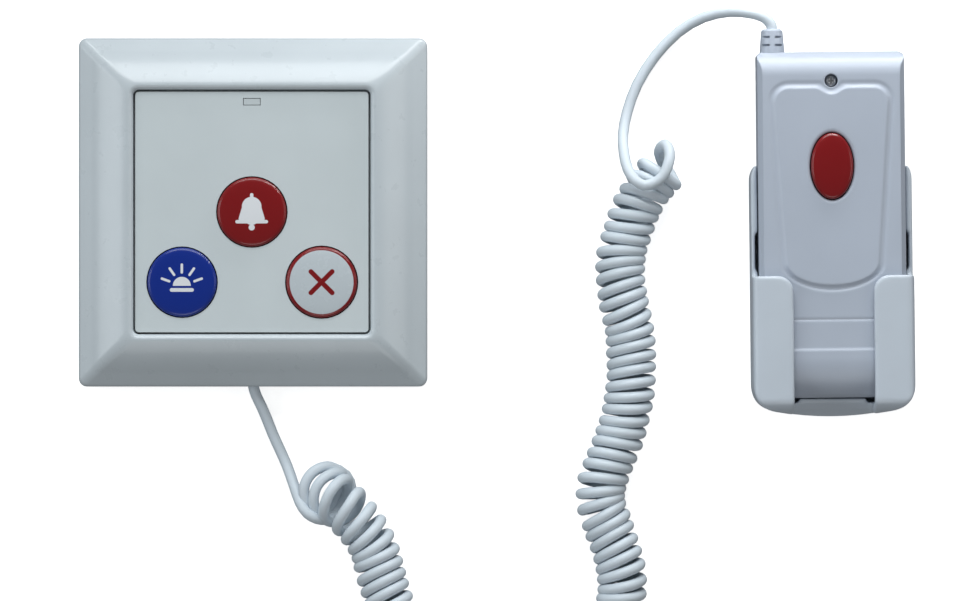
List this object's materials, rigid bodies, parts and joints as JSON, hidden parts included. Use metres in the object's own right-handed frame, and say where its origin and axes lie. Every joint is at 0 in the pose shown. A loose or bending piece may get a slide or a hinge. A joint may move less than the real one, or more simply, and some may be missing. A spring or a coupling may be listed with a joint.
{
  "type": "nurse call button",
  "caption": "Square wall call station with three push buttons, joined by a curly cord to a pendant call handset that rests in an open-fronted wall holder.",
  "frame": {"origin": "middle of the wall station's flat back, on the wall face", "axes": "+Z out of the face of the station and handset, +Y up the wall, +X from the station towards the handset"},
  "size_m": [0.2058, 0.1795, 0.0185],
  "materials": {
    "frame_plastic": "glossy moulded white",
    "panel_plastic": "satin moulded white",
    "cover_plastic": "satin moulded white",
    "white_button_plastic": "glossy white with a red ring",
    "red_plastic": "glossy red",
    "blue_plastic": "glossy blue",
    "handset_plastic": "glossy moulded white",
    "holder_plastic": "glossy moulded white",
    "cord_jacket": "smooth soft white jacket",
    "clear_plastic": "milky light pipe",
    "lamp_plastic": "red lamp",
    "board_laminate": "green laminate",
    "black_component": "black moulded body",
    "battery_sleeve": "shrink sleeve",
    "copper_wire": "enamelled copper",
    "steel": "plated"
  },
  "bodies": {
    "call_set": {"outer_frame": "frame_plastic", "face_panel": "panel_plastic", "rear_cover": "cover_plastic", "rear_screw_1": "steel", "rear_screw_2": "steel", "rear_screw_3": "steel", "rear_screw_4": "steel", "call_switch": "black_component", "emergency_switch": "black_component", "cancel_switch": "black_component", "circuit_board": "board_laminate", "encoder_chip": "black_component", "oscillator": "steel", "aerial_coil": "copper_wire", "indicator_lamp": "lamp_plastic", "light_window": "clear_plastic", "battery": "battery_sleeve", "battery_contact_positive": "steel", "battery_contact_negative": "steel", "battery_spring": "steel", "cord_bushing": "cover_plastic", "cord_clamp": "cover_plastic", "handset_front_shell": "handset_plastic", "handset_rear_shell": "handset_plastic", "handset_board": "board_laminate", "handset_switch": "black_component", "handset_screw": "steel", "handset_cord_boot": "cord_jacket", "handset_cord_clamp": "cover_plastic", "handset_holder": "holder_plastic", "cord_station_tail": "cord_jacket", "cord_curl_1": "cord_jacket", "cord_curl_2": "cord_jacket", "cord_curl_3": "cord_jacket", "cord_curl_4": "cord_jacket", "cord_curl_5": "cord_jacket", "cord_curl_6": "cord_jacket", "cord_curl_7": "cord_jacket", "cord_handset_tail": "cord_jacket"},
    "call_button": {"call_button": "red_plastic"},
    "emergency_button": {"emergency_button": "blue_plastic"},
    "cancel_button": {"cancel_button": "white_button_plastic"},
    "handset_button": {"handset_button": "red_plastic"}
  },
  "joints": [
    {"name": "call_press", "type": "slide", "parent": "call_set", "child": "call_button", "axis": [0, 0, -1], "range_m": [0, 0.0006], "stiffness_N_per_m": 400, "springref_m": -0.0005},
    {"name": "emergency_press", "type": "slide", "parent": "call_set", "child": "emergency_button", "axis": [0, 0, -1], "range_m": [0, 0.0006], "stiffness_N_per_m": 400, "springref_m": -0.0005},
    {"name": "cancel_press", "type": "slide", "parent": "call_set", "child": "cancel_button", "axis": [0, 0, -1], "range_m": [0, 0.0006], "stiffness_N_per_m": 400, "springref_m": -0.0005},
    {"name": "handset_press", "type": "slide", "parent": "call_set", "child": "handset_button", "axis": [0, 0, -1], "range_m": [0, 0.0008], "stiffness_N_per_m": 400, "springref_m": -0.0005}
  ]
}
